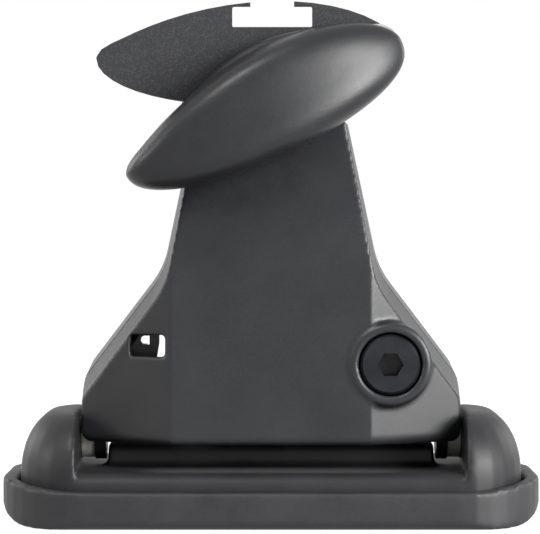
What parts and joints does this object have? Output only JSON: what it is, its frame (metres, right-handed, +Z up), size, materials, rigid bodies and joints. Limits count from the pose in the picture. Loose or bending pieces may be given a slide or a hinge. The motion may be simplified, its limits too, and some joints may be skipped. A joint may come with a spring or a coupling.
{
  "type": "roof bar foot",
  "caption": "Foot of an aerofoil roof bar: rubber pad, base shoe, tilting plastic-covered tower with a clamp screw, grained end plate with a T-slot and a swing-down end cap.",
  "frame": {"origin": "middle of the pad's flat underside", "axes": "+X along the vehicle towards the cap's pivot and the clamp screw, +Y from the outer side inwards along the crossbar, +Z up"},
  "size_m": [0.1448, 0.0792, 0.1394],
  "materials": {
    "rubber": "matt moulded rubber",
    "shoe_plastic": "fine-grained",
    "cover_plastic": "satin",
    "cap_plastic": "satin",
    "grained_plastic": "coarse-grained",
    "saddle_plastic": "fine-grained",
    "coated_steel": "black coated",
    "black_screw": "black zinc",
    "zinc_steel": "zinc plated",
    "bearing_plastic": "natural"
  },
  "bodies": {
    "base": {"rubber_pad": "rubber", "base_shoe": "shoe_plastic", "tilt_pins": "zinc_steel"},
    "tower": {"tilt_spacers": "bearing_plastic", "tower_bracket": "coated_steel", "front_cover": "cover_plastic", "rear_cover": "cover_plastic", "cover_screws": "zinc_steel", "clamp_bush": "zinc_steel", "clamp_washer": "zinc_steel", "guide_pin": "zinc_steel", "saddle": "saddle_plastic", "saddle_liner": "rubber", "slide_plate": "zinc_steel", "bar_bolts": "zinc_steel", "bar_washers": "zinc_steel", "bar_nuts": "zinc_steel", "end_plate": "grained_plastic", "plate_screws": "black_screw", "pivot_bush": "bearing_plastic", "friction_washer": "zinc_steel"},
    "screw": {"clamp_screw": "black_screw", "screw_clip": "zinc_steel"},
    "clamp": {"clamp_bar": "coated_steel", "clamp_nut": "zinc_steel"},
    "cap": {"swing_cap": "cap_plastic", "pivot_screw": "zinc_steel"}
  },
  "joints": [
    {"name": "tower_tilt", "type": "hinge", "parent": "base", "child": "tower", "pos_m": [0, 0, 0.0225], "axis": [1, 0, 0], "range_deg": [-8, 8]},
    {"name": "screw_turn", "type": "hinge", "parent": "tower", "child": "screw", "pos_m": [0.0316, 0, 0.043], "axis": [0, 1, 0], "range_deg": [-1800, 1080]},
    {"name": "clamp_slide", "type": "slide", "parent": "tower", "child": "clamp", "axis": [0, 1, 0], "range_m": [-0.0038, 0.0063]},
    {"name": "cap_swing", "type": "hinge", "parent": "tower", "child": "cap", "pos_m": [0.0282, 0, 0.1274], "axis": [0, 1, 0], "range_deg": [-5, 25.2]}
  ],
  "couplings": [
    {"joint": "clamp_slide", "follows": "screw_turn", "m_per_rad": -0.00019894}
  ]
}
